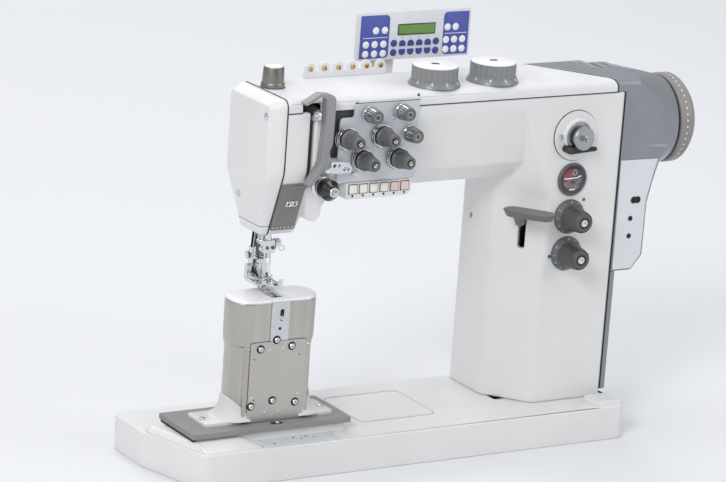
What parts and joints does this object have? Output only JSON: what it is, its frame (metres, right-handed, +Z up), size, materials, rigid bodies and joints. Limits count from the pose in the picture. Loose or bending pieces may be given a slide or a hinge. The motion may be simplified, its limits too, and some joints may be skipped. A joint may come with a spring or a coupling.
{
  "type": "post bed sewing machine head",
  "caption": "Industrial post bed lockstitch sewing machine head with a raised hook post, long arm, tension panel, stitch dials, control panel and built-in motor.",
  "frame": {"origin": "middle of the bed's footprint, on the surface that the bed stands on", "axes": "+X along the arm from the needles to the handwheel, +Y to the back, +Z up"},
  "size_m": [0.778, 0.194, 0.554],
  "materials": {
    "casting": "satin light grey enamel, lightly textured",
    "cover": "satin white moulding",
    "plate": "matt bluish steel",
    "rubber": "grey rubber",
    "nickel": "matt nickel plating",
    "steel": "ground steel",
    "chrome": "polished chrome",
    "belt": "toothed rubber belt",
    "plastic_grey": "warm grey plastic",
    "guard": "grey plastic",
    "knob": "warm grey plastic",
    "dial": "grey plastic with white tops",
    "black": "black plastic",
    "panel": "off-white plastic",
    "button": "cream keys",
    "button_red": "reddish keys",
    "motor": "mid grey plastic"
  },
  "bodies": {
    "frame": {"bed_casting": "casting", "bed_end_cover": "casting", "slide_plate": "plate", "rubber_plate": "rubber", "post_flange": "casting", "post_housing": "nickel", "post_panel": "nickel", "post_strip": "steel", "screws": "chrome", "throat_plate": "steel", "bobbins": "steel", "drive_belt": "belt", "arm_casting": "casting", "top_cover": "cover", "face_cover": "casting", "head_plate": "plastic_grey", "take_up_guard": "guard", "thread_guides": "chrome", "tension_plate": "plate", "tension_discs": "chrome", "button_bar": "panel", "winder_plate": "casting", "gauge": "black", "motor_cover": "motor", "motor_panel": "panel", "thread_guide_rail": "cover", "control_panel": "panel", "panel_bracket": "cover", "side_cover": "motor"},
    "drive": {"main_shaft": "steel", "handwheel": "motor"},
    "lower_drive": {"lower_shaft": "steel"},
    "hook_l": {"hook_left": "chrome"},
    "hook_r": {"hook_right": "chrome"},
    "needles": {"needle_bar": "chrome"},
    "inner_foot": {"walking_bar": "chrome"},
    "presser_foot": {"presser_bar": "chrome"},
    "take_up": {"take_up_lever": "chrome"},
    "feed": {"feed_dog": "chrome"},
    "hook_cover_l": {"hook_cover_left": "steel"},
    "hook_cover_r": {"hook_cover_right": "steel"},
    "tension_1": {"tension_knob_1": "knob"},
    "tension_2": {"tension_knob_2": "knob"},
    "tension_3": {"tension_knob_3": "knob"},
    "tension_4": {"tension_knob_4": "knob"},
    "winder_tension": {"winder_tension_knob": "black"},
    "button_1": {"push_button_1": "button"},
    "button_2": {"push_button_2": "button"},
    "button_3": {"push_button_3": "button"},
    "button_4": {"push_button_4": "button"},
    "button_5": {"push_button_5": "button_red"},
    "button_6": {"push_button_6": "button_red"},
    "winder": {"winder_wheel": "chrome"},
    "winder_arm": {"winder_lever": "black"},
    "dial_upper": {"stitch_dial_upper": "knob"},
    "dial_lower": {"stitch_dial_lower": "knob"},
    "reverse": {"reverse_lever": "plastic_grey"},
    "lift_left": {"lift_dial_left": "dial"},
    "lift_right": {"lift_dial_right": "dial"},
    "pressure": {"pressure_knob": "dial"}
  },
  "joints": [
    {"name": "handwheel_turn", "type": "hinge", "parent": "frame", "child": "drive", "pos_m": [0, 0.015, 0.407], "axis": [1, 0, 0], "continuous": true},
    {"name": "lower_shaft_turn", "type": "hinge", "parent": "frame", "child": "lower_drive", "pos_m": [0, 0.015, 0.022], "axis": [1, 0, 0], "continuous": true},
    {"name": "hook_left_turn", "type": "hinge", "parent": "frame", "child": "hook_l", "pos_m": [-0.206, -0.019, 0.15], "axis": [0, 0, 1], "continuous": true},
    {"name": "hook_right_turn", "type": "hinge", "parent": "frame", "child": "hook_r", "pos_m": [-0.152, -0.019, 0.15], "axis": [0, 0, 1], "continuous": true},
    {"name": "needle_bar_slide", "type": "slide", "parent": "frame", "child": "needles", "axis": [0, 0, 1], "range_m": [-0.034, 0]},
    {"name": "inner_foot_slide", "type": "slide", "parent": "frame", "child": "inner_foot", "axis": [0, 0, 1], "range_m": [-0.0065, 0]},
    {"name": "presser_foot_slide", "type": "slide", "parent": "frame", "child": "presser_foot", "axis": [0, 0, 1], "range_m": [-0.0065, 0]},
    {"name": "take_up_swing", "type": "hinge", "parent": "frame", "child": "take_up", "pos_m": [-0.15, 0.001, 0.43], "axis": [1, 0, 0], "range_deg": [0, 55]},
    {"name": "feed_dog_slide", "type": "slide", "parent": "frame", "child": "feed", "axis": [0, 1, 0], "range_m": [-0.004, 0.004]},
    {"name": "hook_cover_left_slide", "type": "slide", "parent": "frame", "child": "hook_cover_l", "axis": [-1, 0, 0], "range_m": [0, 0.03]},
    {"name": "hook_cover_right_slide", "type": "slide", "parent": "frame", "child": "hook_cover_r", "axis": [1, 0, 0], "range_m": [0, 0.03]},
    {"name": "tension_knob_1_turn", "type": "hinge", "parent": "frame", "child": "tension_1", "pos_m": [-0.104, -0.067, 0.428], "axis": [0, -1, 0], "range_deg": [-360, 360]},
    {"name": "tension_knob_2_turn", "type": "hinge", "parent": "frame", "child": "tension_2", "pos_m": [-0.053, -0.067, 0.4285], "axis": [0, -1, 0], "range_deg": [-360, 360]},
    {"name": "tension_knob_3_turn", "type": "hinge", "parent": "frame", "child": "tension_3", "pos_m": [-0.08, -0.067, 0.399], "axis": [0, -1, 0], "range_deg": [-360, 360]},
    {"name": "tension_knob_4_turn", "type": "hinge", "parent": "frame", "child": "tension_4", "pos_m": [-0.0285, -0.067, 0.3985], "axis": [0, -1, 0], "range_deg": [-360, 360]},
    {"name": "winder_tension_turn", "type": "hinge", "parent": "frame", "child": "winder_tension", "pos_m": [-0.132, -0.057, 0.366], "axis": [0, -1, 0], "range_deg": [-360, 360]},
    {"name": "push_button_1_press", "type": "slide", "parent": "frame", "child": "button_1", "axis": [0, 1, 0], "range_m": [0, 0.0012], "stiffness_N_per_m": 900, "springref_m": -0.0012},
    {"name": "push_button_2_press", "type": "slide", "parent": "frame", "child": "button_2", "axis": [0, 1, 0], "range_m": [0, 0.0012], "stiffness_N_per_m": 900, "springref_m": -0.0012},
    {"name": "push_button_3_press", "type": "slide", "parent": "frame", "child": "button_3", "axis": [0, 1, 0], "range_m": [0, 0.0012], "stiffness_N_per_m": 900, "springref_m": -0.0012},
    {"name": "push_button_4_press", "type": "slide", "parent": "frame", "child": "button_4", "axis": [0, 1, 0], "range_m": [0, 0.0012], "stiffness_N_per_m": 900, "springref_m": -0.0012},
    {"name": "push_button_5_press", "type": "slide", "parent": "frame", "child": "button_5", "axis": [0, 1, 0], "range_m": [0, 0.0012], "stiffness_N_per_m": 900, "springref_m": -0.0012},
    {"name": "push_button_6_press", "type": "slide", "parent": "frame", "child": "button_6", "axis": [0, 1, 0], "range_m": [0, 0.0012], "stiffness_N_per_m": 900, "springref_m": -0.0012},
    {"name": "winder_turn", "type": "hinge", "parent": "frame", "child": "winder", "pos_m": [0.246, -0.057, 0.408], "axis": [0, -1, 0], "continuous": true},
    {"name": "winder_lever_swing", "type": "hinge", "parent": "frame", "child": "winder_arm", "pos_m": [0.23, -0.06, 0.392], "axis": [0, 1, 0], "range_deg": [0, 18]},
    {"name": "stitch_dial_upper_turn", "type": "hinge", "parent": "frame", "child": "dial_upper", "pos_m": [0.246, -0.062, 0.299], "axis": [0, -1, 0], "range_deg": [-150, 150]},
    {"name": "stitch_dial_lower_turn", "type": "hinge", "parent": "frame", "child": "dial_lower", "pos_m": [0.246, -0.062, 0.249], "axis": [0, -1, 0], "range_deg": [-150, 150]},
    {"name": "reverse_lever_press", "type": "hinge", "parent": "frame", "child": "reverse", "pos_m": [0.23431, 0.01293, 0.29], "axis": [0.628, -0.7782, 0], "range_deg": [0, 20], "stiffness_Nm_per_rad": 1.5, "springref_deg": -25.78},
    {"name": "lift_dial_left_turn", "type": "hinge", "parent": "frame", "child": "lift_left", "pos_m": [0.045, -0.012, 0.49], "axis": [0, 0, 1], "range_deg": [-150, 150]},
    {"name": "lift_dial_right_turn", "type": "hinge", "parent": "frame", "child": "lift_right", "pos_m": [0.133, -0.012, 0.49], "axis": [0, 0, 1], "range_deg": [-150, 150]},
    {"name": "pressure_knob_turn", "type": "hinge", "parent": "frame", "child": "pressure", "pos_m": [-0.169, 0.027, 0.49], "axis": [0, 0, 1], "range_deg": [-360, 360]}
  ],
  "couplings": [
    {"joint": "lower_shaft_turn", "follows": "handwheel_turn", "ratio": 1},
    {"joint": "hook_left_turn", "follows": "handwheel_turn", "ratio": 2},
    {"joint": "hook_right_turn", "follows": "handwheel_turn", "ratio": -2},
    {"joint": "take_up_swing", "follows": "needle_bar_slide", "rad_per_m": -27.9}
  ]
}
